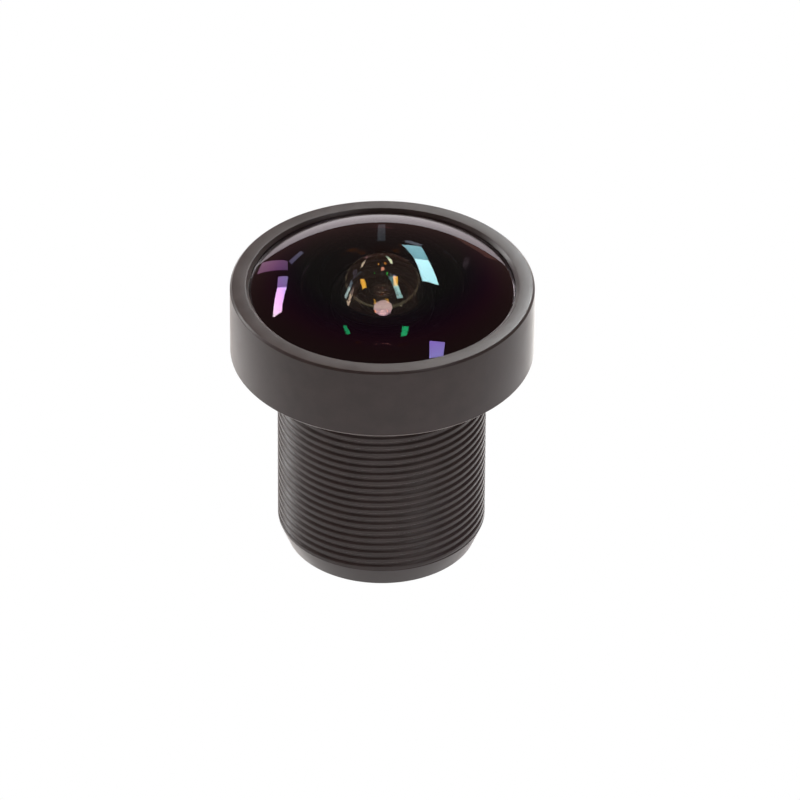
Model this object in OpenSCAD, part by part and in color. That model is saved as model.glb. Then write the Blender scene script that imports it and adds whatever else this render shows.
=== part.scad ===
// Wide-angle board camera lens with an M12 x 0.5 mounting thread.
// The lens stands on its rear end at Z = 0 with the front glass facing +Z, and the optical axis is the Z axis.
// The mounting thread is drawn at its major diameter.

/* [Barrel] */
// Major diameter of the mounting thread
thread_d = 12; // [10:0.1:14]
// Length from the rear face to the shoulder under the head
barrel_h = 12.55; // [11.5:0.05:16]
// Height of the plain lead-in taper below the thread
taper_h = 1.25; // [0.6:0.05:2]
// How much the taper takes off the radius at the rear face
taper_in = 0.5; // [0.2:0.05:0.6]
// Height of the thread relief under the shoulder
relief_h = 0.5; // [0.3:0.05:1]
// Depth of the thread relief
relief_in = 0.4; // [0.3:0.05:0.6]
// How far the relief cuts up into the shoulder and out past the thread
relief_up = 0.1; // [0.05:0.01:0.2]
// Wall of the barrel between the thread and the bore
barrel_wall = 1.5; // [1.1:0.05:2]

/* [Head] */
// Height of the hub that the cap screws on to
hub_h = 2.72; // [2.2:0.02:4]
// Wall of the cap beside the front lens
cap_wall = 0.92; // [0.75:0.01:1.5]
// Wall of the cap skirt beside the hub
skirt_wall = 0.58; // [0.4:0.02:0.7]
// How far the cap stops short of the shoulder
foot_gap = 0.05; // [0.02:0.01:0.1]
// Thickness of the lip that holds the front lens
lip_t = 0.2; // [0.12:0.02:0.5]
// How far the lip reaches over the edge of the front lens
lip_in = 0.13; // [0.08:0.01:0.3]
// Edge break of the cap at its top
top_edge = 0.2; // [0.1:0.01:0.3]
// Edge break of the cap at its foot
foot_edge = 0.17; // [0.1:0.01:0.25]

/* [Front lens] */
// Diameter of the front lens
front_d = 15.5; // [14:0.1:19]
// Height of the dome over its rim
dome_h = 2.563; // [1.8:0.001:3.2]
// Thickness of the glass on the axis
front_t = 1; // [0.8:0.05:1.6]
// Diameter of the hollow in the rear of the front lens
hollow_d = 8.1; // [7:0.1:9]
// Depth of that hollow
hollow_h = 3.09; // [2.6:0.01:3.6]
// Ground bevel round the hollow
hollow_bevel = 0.12; // [0.05:0.01:0.2]

/* [Seal] */
// Thickness of the seal ring before it is squeezed
seal_d = 0.6; // [0.4:0.05:0.8]
// Share of its thickness that the seal ring keeps
seal_squeeze = 0.83; // [0.7:0.01:0.95]
// Distance from the edge of the front lens to the middle of the seal ring
seal_in = 1.35; // [1:0.05:1.8]

/* [Second lens] */
// How far the second lens stands up into the hollow of the front lens
second_rise = 0.49; // [0.3:0.01:0.7]
// Thickness of the second lens on the axis
second_t = 0.6; // [0.4:0.05:0.9]
// Diameter of the hollow in its rear
second_hollow_d = 3.9; // [3.2:0.1:4.4]
// Depth of that hollow
second_hollow_h = 1.32; // [1:0.01:1.6]
// Wall of the nose that holds the second lens
nose_wall = 0.43; // [0.3:0.01:0.6]
// Thickness of the ring on top of the second lens
nose_ring_t = 0.2; // [0.12:0.01:0.3]
// How far that ring reaches over the second lens
nose_ring_in = 0.22; // [0.15:0.01:0.4]
// Thickness of the ledge
second_seat_t = 0.6; // [0.4:0.05:0.9]
// Width of the dark trough round the nose
trough_w = 0.5; // [0.3:0.05:0.7]
// Depth of the trough
trough_h = 0.6; // [0.4:0.05:0.9]

/* [Third lens] */
// Diameter of the third lens
third_d = 4.6; // [4.2:0.1:5.4]
// Width of the flat rim round its two faces
third_ledge = 0.3; // [0.2:0.05:0.6]
// Thickness of its rim
third_rim_t = 0.6; // [0.4:0.05:0.9]
// Bulge of its front face
third_front_h = 0.764; // [0.5:0.001:0.95]
// Bulge of its rear face
third_rear_h = 0.628; // [0.4:0.001:0.75]
// How far the ledge of the barrel clears the faces of the third lens, on the radius
third_ledge_past = 0.5; // [0.3:0.05:0.6]
// Thickness of the ring between the third lens and the barrel
third_ring_t = 0.29; // [0.2:0.01:0.4]
// How far that ring reaches under the ledge of the barrel
third_ring_hold = 0.4; // [0.3:0.05:0.6]

/* [Aperture] */
// Distance from the third lens to the aperture
stop_gap = 0.12; // [0.08:0.01:0.4]
// Diameter of the fixed aperture
stop_d = 2; // [1.2:0.1:3]
// Thickness of the aperture disc
stop_t = 0.1; // [0.05:0.01:0.2]
// Height of the spacer behind the aperture
stop_spacer_h = 2.5; // [2.1:0.05:3]
// How much wider than the fourth lens its bore is, on the radius
stop_spacer_clear = 0.3; // [0.2:0.05:0.6]

/* [Cemented pair] */
// Diameter of the fourth lens
fourth_d = 5; // [4.2:0.1:5.4]
// Thickness of the rim of the fourth lens
fourth_rim_t = 0.42; // [0.3:0.02:0.48]
// Bulge of its front face
fourth_front_h = 0.67; // [0.4:0.01:0.9]
// Depth of the cemented face
cement_h = 1.01; // [0.7:0.01:1.2]
// How far the fifth lens reaches past the fourth, on the radius
fifth_step = 0.5; // [0.3:0.05:0.8]
// Width of the flat rim at the rear of the fifth lens
fifth_ledge = 0.4; // [0.3:0.05:0.6]
// Depth of the hollow in its rear
fifth_hollow_h = 0.434; // [0.2:0.001:0.6]
// Height of the cell that holds the pair
pair_cell_h = 2.6; // [2.4:0.05:3.2]
// Thickness of the lip of that cell
pair_lip_t = 0.49; // [0.4:0.01:0.7]

/* [Rear] */
// Thickness of the baffle behind the pair
baffle_t = 0.1; // [0.05:0.01:0.2]
// How far the baffle reaches in over the clear face of the fifth lens
baffle_in = 0.2; // [0.1:0.05:0.4]
// Thickness of the rim of the sixth lens
sixth_rim_t = 0.4; // [0.3:0.05:0.7]
// Width of the ledge round the faces of the sixth lens
sixth_ledge = 0.85; // [0.7:0.05:1.1]
// Bulge of its front face
sixth_front_h = 1.2; // [0.8:0.05:1.5]
// Bulge of its rear face
sixth_rear_h = 1; // [0.6:0.05:1.25]
// How far the retaining ring lies inside the rear face
recess_h = 0.35; // [0.2:0.05:0.6]
// Height of the retaining ring up to the sixth lens
retainer_h = 2.55; // [2.3:0.05:2.9]
// How much wider its seat is than the bore, on the radius
retainer_step = 0.25; // [0.15:0.01:0.4]
// Height of the collar that presses on the sixth lens
collar_h = 0.35; // [0.25:0.05:0.6]
// Opening in the retaining ring
retainer_d = 6; // [5:0.1:6.5]
// Width of the two spanner slots
slot_w = 0.8; // [0.5:0.05:1.2]
// Depth of the two spanner slots
slot_h = 0.5; // [0.3:0.05:0.8]
// Width of the ledge that the filter glass lies on
filter_ledge = 0.5; // [0.3:0.05:0.7]
// Thickness of the filter glass
filter_t = 0.3; // [0.2:0.05:0.5]

/* [Hidden] */
$fn = 128;

// Clearances
slip = 0.03;          // round pieces in the bores that guide them
cap_slip = 0.02;      // cap on its hub
lip_gap = 0.01;       // lip over the glass of the front lens
nose_gap = 0.15;      // ring of the second lens inside the hollow
hub_gap = 0.1;        // step of the cap over the top of the hub
cement_t = 0.01;      // cement between the fourth and fifth lenses
filter_gap = 0.05;    // filter glass in its recess
seal_gap = 0.05;      // seal ring in its groove, each side
edge = 0.06;          // small edge breaks
blacken = "#26262a";
inner = "#161618";
glass = [0.55, 0.62, 0.66, 0.45];
eps = 0.01;

// Radius of the sphere that spans a circle of diameter d with height h
function ball_r(d, h) = (d * d / 4 + h * h) / (2 * h);
// Height that a sphere of radius r falls between its pole and a circle of radius a
function fall(r, a) = r - sqrt(r * r - a * a);

// Outside sizes
thread_r = thread_d / 2;
bore_r = thread_r - barrel_wall;
front_rim_r = front_d / 2;
cap_r = front_rim_r + slip + cap_wall;
hub_r = cap_r - skirt_wall;

// Heights of the head and the front lens
shoulder_z = barrel_h;
seat_z = shoulder_z + hub_h;
hollow_r = ball_r(hollow_d, hollow_h);
hollow_top_z = seat_z + hollow_h;
front_top_z = hollow_top_z + front_t;
dome_r = ball_r(front_d, dome_h);
rim_z = front_top_z - dome_h;
lip_r = front_rim_r - lip_in;
lip_z = front_top_z - fall(dome_r, lip_r) + lip_gap;
cap_z = lip_z + lip_t;

// The nose and the second lens
second_z = seat_z + second_rise;
nose_ring_z = second_z + nose_ring_t;
hollow_mid_z = hollow_top_z - hollow_r;
nose_r = sqrt(pow(hollow_r, 2) - pow(nose_ring_z - hollow_mid_z, 2)) - nose_gap;
second_r = nose_r - nose_wall;
second_base_z = second_z - second_t - second_hollow_h;
seal_r = front_rim_r - seal_in;

// The stack behind the second lens, from the front to the baffle
stack_r = bore_r - slip;
stack_z = second_base_z - second_seat_t;
third_z = stack_z - third_ring_t;
third_seat_z = third_z - third_rim_t;
stop_z = third_seat_z - third_rear_h - stop_gap;
stop_spacer_z = stop_z - stop_t;
pair_z = stop_spacer_z - stop_spacer_h;
pair_lip_z = pair_z - pair_lip_t;
pair_base_z = pair_z - pair_cell_h;
rear_spacer_z = pair_base_z - baffle_t;

// The rear group, from the rear face to the spacer that takes up the rest
retainer_z = recess_h + retainer_h;
sixth_z = retainer_z + sixth_rim_t;
seat_bore_r = bore_r + retainer_step;

// Radii of the lenses in the stack
third_clear_r = third_d / 2 - third_ledge;
ledge_r = third_clear_r + third_ledge_past;
third_ring_r = ledge_r + third_ring_hold;
fourth_r = fourth_d / 2;
fifth_r = fourth_r + fifth_step;
fifth_clear_r = fifth_r - fifth_ledge;
sixth_clear_r = stack_r - sixth_ledge;
retainer_r = retainer_d / 2;
filter_r = retainer_r + filter_ledge;

// A cylinder from one height to another
module drum(r, low, high) {
    translate([0, 0, low]) cylinder(r = r, h = high - low);
}

// A ring from one height to another
module ring(outer, bore, low, high) {
    difference() {
        drum(outer, low, high);
        drum(bore, low - eps, high + eps);
    }
}

// The bulge of a lens face over a flat rim at height z, towards +Z, rooted a little inside the rim
module bulge(d, h, z, root) {
    intersection() {
        translate([0, 0, z + h - ball_r(d, h)]) sphere(r = ball_r(d, h));
        drum(d / 2, z - root, z + h + eps);
    }
}

// The ball that hollows a lens face out below height z
module hollow(d, h, z) {
    translate([0, 0, z - h + ball_r(d, h)]) sphere(r = ball_r(d, h));
}

// The same shape turned over, about height z
module turned(z) {
    translate([0, 0, 2 * z]) mirror([0, 0, 1]) children();
}

module barrel() {
    groove_in = seal_r - seal_d / 2 - seal_gap;
    groove_out = seal_r + seal_d / 2 + seal_gap;
    groove_z = seat_z - seal_d * seal_squeeze;
    relief_z = shoulder_z - relief_h;
    relief_r = thread_r - relief_in;
    color(blacken) rotate_extrude() polygon([
        // rear face, taper, thread and relief
        [seat_bore_r + 2 * edge, 0],
        [thread_r - taper_in, 0],
        [thread_r, taper_h],
        [thread_r, relief_z - relief_in / 2],
        [relief_r, relief_z],
        [relief_r, shoulder_z + relief_up],
        [thread_r + relief_up, shoulder_z + relief_up],
        // shoulder and hub
        [thread_r + relief_up, shoulder_z],
        [hub_r - edge, shoulder_z],
        [hub_r, shoulder_z + edge],
        [hub_r, seat_z - 2 * edge],
        [hub_r - 2 * edge, seat_z],
        // groove of the seal ring
        [groove_out, seat_z],
        [groove_out, groove_z],
        [groove_in, groove_z],
        [groove_in, seat_z],
        // trough and nose
        [nose_r + trough_w, seat_z],
        [nose_r + trough_w, seat_z - trough_h],
        [nose_r, seat_z - trough_h],
        [nose_r, second_z],
        // pocket and ledge of the second lens
        [second_r + slip, second_z],
        [second_r + slip, second_base_z],
        [ledge_r, second_base_z],
        [ledge_r, stack_z],
        // main bore and the seat of the retaining ring
        [bore_r, stack_z],
        [bore_r, retainer_z - collar_h],
        [seat_bore_r, retainer_z - collar_h],
        [seat_bore_r, 2 * edge],
    ]);
}

module front_cap() {
    foot_z = shoulder_z + foot_gap;
    skirt_r = hub_r + cap_slip;
    step_z = seat_z + hub_gap;
    pocket_r = front_rim_r + slip;
    color(blacken) rotate_extrude() polygon([
        [skirt_r, foot_z],
        [cap_r - foot_edge, foot_z],
        [cap_r, foot_z + foot_edge],
        [cap_r, cap_z - top_edge],
        [cap_r - top_edge, cap_z],
        [lip_r + edge, cap_z],
        [lip_r, cap_z - edge],
        [lip_r, lip_z],
        [pocket_r, lip_z],
        [pocket_r, step_z],
        [skirt_r, step_z],
    ]);
}

module front_lens() {
    bevel_r = hollow_d / 2 + hollow_bevel;
    color(glass) difference() {
        union() {
            drum(front_rim_r, seat_z, rim_z);
            bulge(front_d, dome_h, rim_z, (rim_z - seat_z) / 2);
        }
        turned(seat_z) hollow(hollow_d, hollow_h, seat_z);
        translate([0, 0, seat_z - eps])
            cylinder(r1 = bevel_r + eps, r2 = bevel_r - hollow_bevel - eps, h = hollow_bevel + 2 * eps);
    }
}

module front_seal() {
    squeezed = seal_d * seal_squeeze;
    color("#0e0e10") intersection() {
        translate([0, 0, seat_z - squeezed / 2])
            rotate_extrude() translate([seal_r, 0]) circle(d = seal_d);
        drum(seal_r + seal_d, seat_z - squeezed, seat_z);
    }
}

module second_lens() {
    color(glass) difference() {
        drum(second_r, second_base_z, second_z);
        turned(second_base_z) hollow(second_hollow_d, second_hollow_h, second_base_z);
    }
}

module second_lens_ring() {
    bore = second_r - nose_ring_in;
    color(inner) difference() {
        ring(nose_r, bore, second_z, nose_ring_z);
        translate([0, 0, second_z])
            cylinder(r1 = bore - eps, r2 = bore + nose_ring_t, h = nose_ring_t + eps);
    }
}

module third_lens() {
    root = third_rim_t / 2;
    color(glass) union() {
        drum(third_d / 2, third_seat_z, third_z);
        bulge(2 * third_clear_r, third_front_h, third_z, root);
        turned(third_seat_z) bulge(2 * third_clear_r, third_rear_h, third_seat_z, root);
    }
}

module third_lens_ring() {
    color(inner) ring(third_ring_r, third_clear_r + slip, third_z, stack_z);
}

module third_lens_cell() {
    pocket_r = third_d / 2 + slip;
    clear_r = third_clear_r + slip;
    ring_seat_r = third_ring_r + slip;
    color(inner) rotate_extrude() polygon([
        // seat of the thin ring, pocket of the lens, and the opening that flares to the rear
        [ring_seat_r, stack_z],
        [ring_seat_r, third_z],
        [pocket_r, third_z],
        [pocket_r, third_seat_z],
        [clear_r, third_seat_z],
        [clear_r, third_seat_z - third_rear_h / 2],
        [pocket_r + edge, stop_z],
        // outside
        [stack_r - edge, stop_z],
        [stack_r, stop_z + edge],
        [stack_r, stack_z - edge],
        [stack_r - edge, stack_z],
    ]);
}

module aperture_stop() {
    color(inner) ring(stack_r, stop_d / 2, stop_spacer_z, stop_z);
}

module stop_spacer() {
    color(inner) ring(stack_r, fourth_r + stop_spacer_clear, pair_z, stop_spacer_z);
}

module fourth_lens() {
    top_z = pair_lip_z + fourth_rim_t;
    root = fourth_rim_t / 2;
    color(glass) union() {
        drum(fourth_r, pair_lip_z, top_z);
        bulge(fourth_d, fourth_front_h, top_z, root);
        turned(pair_lip_z) bulge(fourth_d, cement_h - cement_t, pair_lip_z, root);
    }
}

module fifth_lens() {
    color(glass) difference() {
        drum(fifth_r, pair_base_z, pair_lip_z);
        hollow(fourth_d, cement_h, pair_lip_z);
        turned(pair_base_z) hollow(2 * fifth_clear_r, fifth_hollow_h, pair_base_z);
    }
}

module pair_cell() {
    color(inner) {
        ring(stack_r, fifth_r + slip, pair_base_z, pair_lip_z);
        ring(stack_r, fourth_r + slip, pair_lip_z, pair_z);
    }
}

module rear_baffle() {
    color(inner) ring(stack_r, fifth_clear_r - baffle_in, rear_spacer_z, pair_base_z);
}

module rear_spacer() {
    color(inner) ring(stack_r, sixth_clear_r + slip, sixth_z, rear_spacer_z);
}

module sixth_lens() {
    clear_d = 2 * sixth_clear_r;
    root = sixth_rim_t / 2;
    color(glass) union() {
        drum(stack_r, retainer_z, sixth_z);
        bulge(clear_d, sixth_front_h, sixth_z, root);
        turned(retainer_z) bulge(clear_d, sixth_rear_h, retainer_z, root);
    }
}

module rear_retainer() {
    outer = seat_bore_r - slip;
    collar_z = retainer_z - collar_h;
    pocket_r = filter_r + filter_gap;
    pocket_z = recess_h + filter_gap + filter_t;
    color(blacken) difference() {
        rotate_extrude() polygon([
            [pocket_r, recess_h],
            [outer - edge, recess_h],
            [outer, recess_h + edge],
            [outer, collar_z],
            [stack_r, collar_z],
            [stack_r, retainer_z],
            [sixth_clear_r + slip, retainer_z],
            [retainer_r, retainer_z - sixth_rear_h],
            [retainer_r, pocket_z],
            [pocket_r, pocket_z],
        ]);
        for (side = [0, 180])
            rotate([0, 0, side]) translate([pocket_r - eps, -slot_w / 2, recess_h - eps])
                cube([outer, slot_w, slot_h + eps]);
    }
}

module filter_glass() {
    color("#7f5560") drum(filter_r, recess_h + filter_gap, recess_h + filter_gap + filter_t);
}

barrel();
front_cap();
front_lens();
front_seal();
second_lens();
second_lens_ring();
third_lens();
third_lens_ring();
third_lens_cell();
aperture_stop();
stop_spacer();
fourth_lens();
fifth_lens();
pair_cell();
rear_baffle();
rear_spacer();
sixth_lens();
rear_retainer();
filter_glass();
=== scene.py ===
"""Looks of a wide-angle board camera lens: coated glass in a black anodised barrel with an M12 thread."""

import logging
import math
from dataclasses import dataclass, field
from enum import Enum

import bmesh
import bpy
from mathutils import Euler, Matrix, Vector


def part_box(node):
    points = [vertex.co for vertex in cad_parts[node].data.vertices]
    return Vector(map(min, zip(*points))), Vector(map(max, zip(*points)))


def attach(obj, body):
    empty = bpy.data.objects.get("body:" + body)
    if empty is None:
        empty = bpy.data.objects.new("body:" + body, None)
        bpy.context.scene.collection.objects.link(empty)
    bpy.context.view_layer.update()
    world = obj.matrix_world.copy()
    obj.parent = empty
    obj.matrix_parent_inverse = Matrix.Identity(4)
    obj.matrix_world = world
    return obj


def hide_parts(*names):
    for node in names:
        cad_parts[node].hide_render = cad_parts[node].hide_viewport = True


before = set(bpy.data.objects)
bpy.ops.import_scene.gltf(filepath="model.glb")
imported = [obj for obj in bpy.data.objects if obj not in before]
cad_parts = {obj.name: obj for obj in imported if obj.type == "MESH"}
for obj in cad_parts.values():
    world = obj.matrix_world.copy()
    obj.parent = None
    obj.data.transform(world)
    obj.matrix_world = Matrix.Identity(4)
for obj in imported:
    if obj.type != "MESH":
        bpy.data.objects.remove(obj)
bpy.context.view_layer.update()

LOG = logging.getLogger("board_lens")
MM = 0.001
BODY = "root"
SEGMENTS = 192
JOIN_DISTANCE = 0.0005 * MM
FRONT = -math.pi / 2
EYE_HEIGHT = math.radians(35.4)

# Millimetres within which a length is nothing, and two places are the same
NOTHING = 1e-6
SAME_HEIGHT = 1e-4
RIM_BAND = 0.02
SAME_RADIUS = 0.05

# In nanometres. A film this thin has no colour of its own, but lets a tint hold at every angle
THIN_FILM = 0.2

Point = tuple[float, float]
Colour = tuple[float, float, float]
Coats = dict[str, tuple[bpy.types.Material, bpy.types.Material]]


class Slot(Enum):
    """Material slot names, passed along with each new piece."""

    ANODISED = "black_anodised"
    INNER = "inner_black"
    RUBBER = "seal_rubber"
    GLASS = "coated_glass"


class Wiring:
    """A shader or geometry node tree that is wired by short calls."""

    def __init__(self, tree: bpy.types.NodeTree) -> None:
        """Keep the tree.

        Args:
            tree: The node tree that the calls add to.
        """
        self.tree = tree

    def add(self, kind: str, inputs: dict[str | int, object] | None = None,
            **settings: object) -> bpy.types.Node:
        """Add a node, set its properties and fill or link its inputs.

        Args:
            kind: Blender's name of the node type.
            inputs: Values or output sockets for the node's inputs, by name or number.
            **settings: Properties of the node.

        Returns:
            The new node.
        """
        node = self.tree.nodes.new(kind)
        for name, value in settings.items():
            setattr(node, name, value)
        for key, value in (inputs or {}).items():
            if isinstance(value, bpy.types.NodeSocket):
                self.tree.links.new(value, node.inputs[key])
            else:
                node.inputs[key].default_value = value
        return node

    def maths(self, operation: str, *values: object) -> bpy.types.NodeSocket:
        """Add a Math node.

        Args:
            operation: Name of the operation, such as ADD.
            *values: Its numbers or linked sockets, in order.

        Returns:
            The result's socket.
        """
        node = self.add("ShaderNodeMath", dict(enumerate(values)), operation=operation)
        return node.outputs[0]

    def noise(self, place: bpy.types.NodeSocket, scale: float, detail: float) -> bpy.types.NodeSocket:
        """Add a noise texture.

        Args:
            place: Where it is looked up.
            scale: How fine it is.
            detail: Number of finer layers in it.

        Returns:
            The noise's socket, from 0 to 1.
        """
        values = {"Vector": place, "Scale": scale, "Detail": detail}
        return self.add("ShaderNodeTexNoise", values).outputs["Fac"]

    def spread(self, noise: bpy.types.NodeSocket, middle: float, reach: float) -> bpy.types.NodeSocket:
        """Stretch a noise, which seldom leaves 0.3 to 0.7, over a range.

        Args:
            noise: The noise's socket.
            middle: Middle of the range.
            reach: How far the range goes to either side.

        Returns:
            The result's socket.
        """
        return self.add("ShaderNodeMapRange", {
            "Value": noise, "From Min": 0.3, "From Max": 0.7,
            "To Min": middle - reach, "To Max": middle + reach}).outputs[0]

    def bump(self, height: bpy.types.NodeSocket, distance: float, **under: object) -> bpy.types.NodeSocket:
        """Add fine relief.

        Args:
            height: Its height's socket.
            distance: Height of the relief, in metres.
            **under: The normal that it starts from, if it isn't the surface's own.

        Returns:
            The normal's socket.
        """
        return self.add("ShaderNodeBump", {
            "Height": height, "Distance": distance, "Strength": 1.0, **under}).outputs[0]


# Finishes


def new_material(name: str) -> tuple[bpy.types.Material, Wiring, bpy.types.Node]:
    """Make a material with an empty Principled shader.

    Args:
        name: Name of the material.

    Returns:
        The material, its wiring and its Principled node.
    """
    material = bpy.data.materials.new(name)
    material.use_nodes = True
    wiring = Wiring(material.node_tree)
    shader = next(n for n in material.node_tree.nodes if n.type == "BSDF_PRINCIPLED")
    return material, wiring, shader


def polar(wiring: Wiring) -> tuple[bpy.types.NodeSocket, bpy.types.NodeSocket, bpy.types.NodeSocket]:
    """Wire up the place of a point round the optical axis.

    Args:
        wiring: The shader's wiring.

    Returns:
        Distance from the axis, angle in radians and height, in metres.
    """
    place = wiring.add("ShaderNodeTexCoord").outputs["Object"]
    parts = wiring.add("ShaderNodeSeparateXYZ", {0: place}).outputs
    across = wiring.maths("MULTIPLY", parts["X"], parts["X"])
    across = wiring.maths("MULTIPLY_ADD", parts["Y"], parts["Y"], across)
    return wiring.maths("SQRT", across), wiring.maths("ARCTAN2", parts["Y"], parts["X"]), parts["Z"]


@dataclass(frozen=True)
class Anodised:
    """Black anodised aluminium with fine turning marks and a fine matt grain.

    Args:
        name: Name of the material.
        colour: Colour of the dye layer.
        roughness: Mean roughness.
        spread: How far the roughness varies over the surface.
        grain: Height of the matt grain, in metres.
        marks: Height of the turning marks, in metres.
        pitch: Distance between two turning marks, in metres.
        swirl: How much the turning marks change round the axis.
        cloud_scale: How fine the slow changes of colour and roughness are.
        grain_scale: How fine the matt grain is.
        drift: How far the colour varies, as a share.
        shine: Specular level of the layer.
        bloom: Strength of its pale look at grazing angles.
        bloom_roughness: How far that look reaches in from the edge.
        bloom_tint: Its tint.
    """

    name: str
    colour: Colour
    roughness: float
    spread: float = 0.05
    grain: float = 0.0006 * MM
    marks: float = 0.0008 * MM
    pitch: float = 0.03 * MM
    swirl: float = 1.3
    cloud_scale: float = 900.0
    grain_scale: float = 22000.0
    drift: float = 0.12
    shine: float = 0.32
    bloom: float = 1.0
    bloom_roughness: float = 0.35
    bloom_tint: Colour = (1.0, 0.95, 0.92)

    def material(self) -> bpy.types.Material:
        """Build the material.

        Returns:
            The new material.
        """
        material, wiring, shader = new_material(self.name)
        radius, angle, height = polar(wiring)
        place = wiring.add("ShaderNodeTexCoord").outputs["Object"]
        cloud = wiring.noise(place, self.cloud_scale, 3.0)
        swept = wiring.add("ShaderNodeCombineXYZ", {
            "X": wiring.maths("MULTIPLY", radius, 1.0 / self.pitch),
            "Y": wiring.maths("MULTIPLY", height, 1.0 / self.pitch),
            "Z": wiring.maths("MULTIPLY", angle, self.swirl)}).outputs[0]
        shade = wiring.add("ShaderNodeMix", {
            0: 1.0, 6: (*self.colour, 1.0), 7: wiring.spread(cloud, 1.0, self.drift)},
            data_type="RGBA", blend_type="MULTIPLY")
        lines = wiring.bump(wiring.noise(swept, 1.0, 2.0), self.marks)
        grit = wiring.bump(wiring.noise(place, self.grain_scale, 2.0), self.grain, Normal=lines)
        wiring.tree.links.new(shade.outputs[2], shader.inputs["Base Color"])
        wiring.tree.links.new(wiring.spread(cloud, self.roughness, self.spread), shader.inputs["Roughness"])
        wiring.tree.links.new(grit, shader.inputs["Normal"])
        shader.inputs["Specular IOR Level"].default_value = self.shine
        shader.inputs["Sheen Weight"].default_value = self.bloom
        shader.inputs["Sheen Roughness"].default_value = self.bloom_roughness
        shader.inputs["Sheen Tint"].default_value = (*self.bloom_tint, 1.0)
        return material


@dataclass(frozen=True)
class CoatedGlass:
    """Polished glass with an anti-reflection coating whose colour follows the distance from the axis.

    Args:
        name: Name of the material.
        index: Refractive index of the glass.
        coating: Share of the bare glass's reflection that is left, at each of a few distances in millimetres.
        grazing: Tint of its reflection at grazing angles.
        slant: Share of facing away at which that tint starts to come in, and at which it is whole.
        colour: Colour of the light that the glass lets through.
        roughness: Roughness of the polish.
    """

    name: str
    index: float
    coating: tuple[tuple[float, Colour], ...]
    grazing: Colour = (1.0, 0.85, 0.91)
    slant: tuple[float, float] = (0.45, 0.72)
    colour: Colour = (1.0, 1.0, 1.0)
    roughness: float = 0.025

    def material(self) -> bpy.types.Material:
        """Build the material.

        Returns:
            The new material.
        """
        material, wiring, shader = new_material(self.name)
        shader.inputs["Base Color"].default_value = (*self.colour, 1.0)
        shader.inputs["Roughness"].default_value = self.roughness
        shader.inputs["IOR"].default_value = self.index
        shader.inputs["Transmission Weight"].default_value = 1.0
        shader.inputs["Thin Film Thickness"].default_value = THIN_FILM
        if len(self.coating) == 1:
            shader.inputs["Specular Tint"].default_value = (*self.coating[0][1], 1.0)
            return material
        reach = self.coating[-1][0]
        share = wiring.maths("DIVIDE", polar(wiring)[0], reach * MM)
        ramp = wiring.add("ShaderNodeValToRGB", {"Fac": share})
        stops = ramp.color_ramp.elements
        while len(stops) < len(self.coating):
            stops.new(0.5)
        for stop, (distance, tint) in zip(stops, self.coating):
            stop.position = distance / reach
            stop.color = (*tint, 1.0)
        turned_away = wiring.add("ShaderNodeMapRange", {
            "Value": wiring.add("ShaderNodeLayerWeight", {"Blend": 0.5}).outputs["Facing"],
            "From Min": self.slant[0], "From Max": self.slant[1]}).outputs[0]
        tint = wiring.add("ShaderNodeMix", {
            0: turned_away, 6: ramp.outputs["Color"], 7: (*self.grazing, 1.0)}, data_type="RGBA").outputs[2]
        wiring.tree.links.new(tint, shader.inputs["Specular Tint"])
        return material


@dataclass(frozen=True)
class Ink:
    """Black ink behind polished glass, which still mirrors a little.

    Args:
        name: Name of the material.
        tint: Tint of what it mirrors.
        shine: Share of the usual reflection that it has.
        colour: Colour of the ink.
        roughness: Its roughness.
    """

    name: str
    tint: Colour
    shine: float
    colour: Colour = (0.003, 0.0022, 0.0024)
    roughness: float = 0.03

    def material(self) -> bpy.types.Material:
        """Build the material.

        Returns:
            The new material.
        """
        material, _, shader = new_material(self.name)
        shader.inputs["Base Color"].default_value = (*self.colour, 1.0)
        shader.inputs["Roughness"].default_value = self.roughness
        shader.inputs["Specular IOR Level"].default_value = self.shine
        shader.inputs["Specular Tint"].default_value = (*self.tint, 1.0)
        return material


@dataclass(frozen=True)
class Dull:
    """A plain dull black, such as rubber, film or paint against stray light.

    Args:
        name: Name of the material.
        colour: Its colour.
        roughness: Its mean roughness.
        spread: How far the roughness varies.
        grain: Height of its grain, in metres.
        scale: How fine the grain is.
        shine: Share of the usual reflection that it has.
    """

    name: str
    colour: Colour
    roughness: float
    spread: float = 0.08
    grain: float = 0.001 * MM
    scale: float = 9000.0
    shine: float = 0.3

    def material(self) -> bpy.types.Material:
        """Build the material.

        Returns:
            The new material.
        """
        material, wiring, shader = new_material(self.name)
        place = wiring.add("ShaderNodeTexCoord").outputs["Object"]
        grain = wiring.noise(place, self.scale, 3.0)
        wiring.tree.links.new(wiring.spread(grain, self.roughness, self.spread), shader.inputs["Roughness"])
        wiring.tree.links.new(wiring.bump(grain, self.grain), shader.inputs["Normal"])
        shader.inputs["Base Color"].default_value = (*self.colour, 1.0)
        shader.inputs["Specular IOR Level"].default_value = self.shine
        return material


# Outlines of turned pieces


@dataclass(frozen=True)
class Corner:
    """One corner of a turned outline.

    Args:
        r: Distance from the axis, in millimetres.
        z: Height, in millimetres.
        round: Radius of its rounding, in millimetres.
    """

    r: float
    z: float
    round: float = 0.0


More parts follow.
